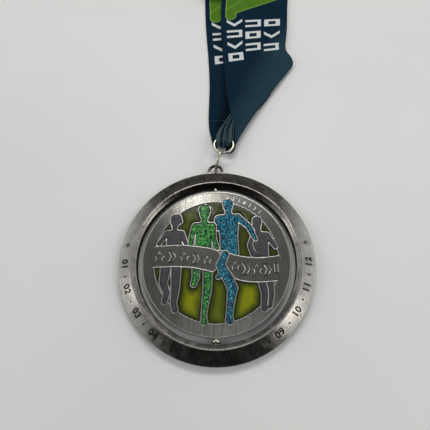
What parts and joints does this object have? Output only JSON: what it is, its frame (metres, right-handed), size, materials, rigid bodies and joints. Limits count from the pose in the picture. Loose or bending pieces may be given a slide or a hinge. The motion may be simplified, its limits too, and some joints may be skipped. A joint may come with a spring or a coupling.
{
  "type": "finisher medal",
  "caption": "Sports finisher medal: a heavy ring with a lug carries a stained-glass disc that spins on two pins, on a satin neck ribbon with two jump rings.",
  "frame": {"origin": "bottom centre of the box of the whole object, which lies face up on a table with its ribbon laid out and its spare length folded", "axes": "+Z out of the medal's face, +Y from the medal towards the ribbon, +X to the right of the face"},
  "size_m": [0.1064, 0.312, 0.0142],
  "materials": {
    "antique_nickel": "antiqued nickel plate on zinc alloy, polished on the crest and dark in the recesses",
    "brushed_nickel": "antiqued nickel plate, brushed from top to bottom",
    "bright_nickel": "bright nickel plated steel wire",
    "lime_enamel": "translucent lime enamel, darker at its edges",
    "green_glitter": "green glitter enamel",
    "blue_glitter": "blue glitter enamel",
    "grey_enamel": "dark grey soft enamel",
    "teal_satin": "dark teal woven satin with a printed pattern",
    "teal_thread": "dark teal sewing thread"
  },
  "bodies": {
    "ring": {"ring_frame": "antique_nickel", "upper_pivot_pin": "bright_nickel", "lower_pivot_pin": "bright_nickel"},
    "disc": {"disc_body": "brushed_nickel", "enamel_blue_leg_runner_1": "blue_glitter", "enamel_blue_runner_1": "blue_glitter", "enamel_green_runner_1": "green_glitter", "enamel_green_runner_2": "green_glitter", "enamel_green_runner_3": "green_glitter", "enamel_left_runner_1": "grey_enamel", "enamel_left_runner_2": "grey_enamel", "enamel_left_runner_3": "grey_enamel", "enamel_pane_lower_01": "lime_enamel", "enamel_pane_lower_04": "lime_enamel", "enamel_pane_lower_06": "lime_enamel", "enamel_pane_lower_08": "lime_enamel", "enamel_pane_lower_10": "lime_enamel", "enamel_pane_upper_02": "lime_enamel", "enamel_pane_upper_03": "lime_enamel", "enamel_pane_upper_05": "lime_enamel", "enamel_pane_upper_07": "lime_enamel", "enamel_pane_upper_09": "lime_enamel", "enamel_pane_upper_11": "lime_enamel", "enamel_pane_upper_12": "lime_enamel", "enamel_pane_upper_13": "lime_enamel", "enamel_pane_upper_14": "lime_enamel", "enamel_right_runner_1": "grey_enamel", "enamel_right_runner_2": "grey_enamel"},
    "link": {"link_ring": "bright_nickel"},
    "ribbon_ring": {"ribbon_ring": "bright_nickel"},
    "ribbon": {"ribbon_folded_length": "teal_satin", "ribbon_gathered_loop": "teal_satin", "ribbon_over_strand": "teal_satin", "ribbon_seam_stitching": "teal_thread", "ribbon_under_strand": "teal_satin"}
  },
  "joints": [
    {"name": "disc_spin", "type": "hinge", "parent": "ring", "child": "disc", "pos_m": [-0.00225, -0.105, 0.0032], "axis": [0, 1, 0], "continuous": true},
    {"name": "link_swing", "type": "hinge", "parent": "ring", "child": "link", "pos_m": [-0.00136, -0.04901, 0.0032], "axis": [0.9609, -0.2396, -0.1392], "range_deg": [-80, 3]},
    {"name": "ribbon_ring_swing", "type": "hinge", "parent": "link", "child": "ribbon_ring", "pos_m": [0.00092, -0.04219, 0.00714], "axis": [0.9397, -0.342, 0], "range_deg": [-20, 65]},
    {"name": "ribbon_swing", "type": "hinge", "parent": "ribbon_ring", "child": "ribbon", "pos_m": [0.00283, -0.03212, 0.00714], "axis": [1, 0, 0], "range_deg": [-20, 60]}
  ]
}
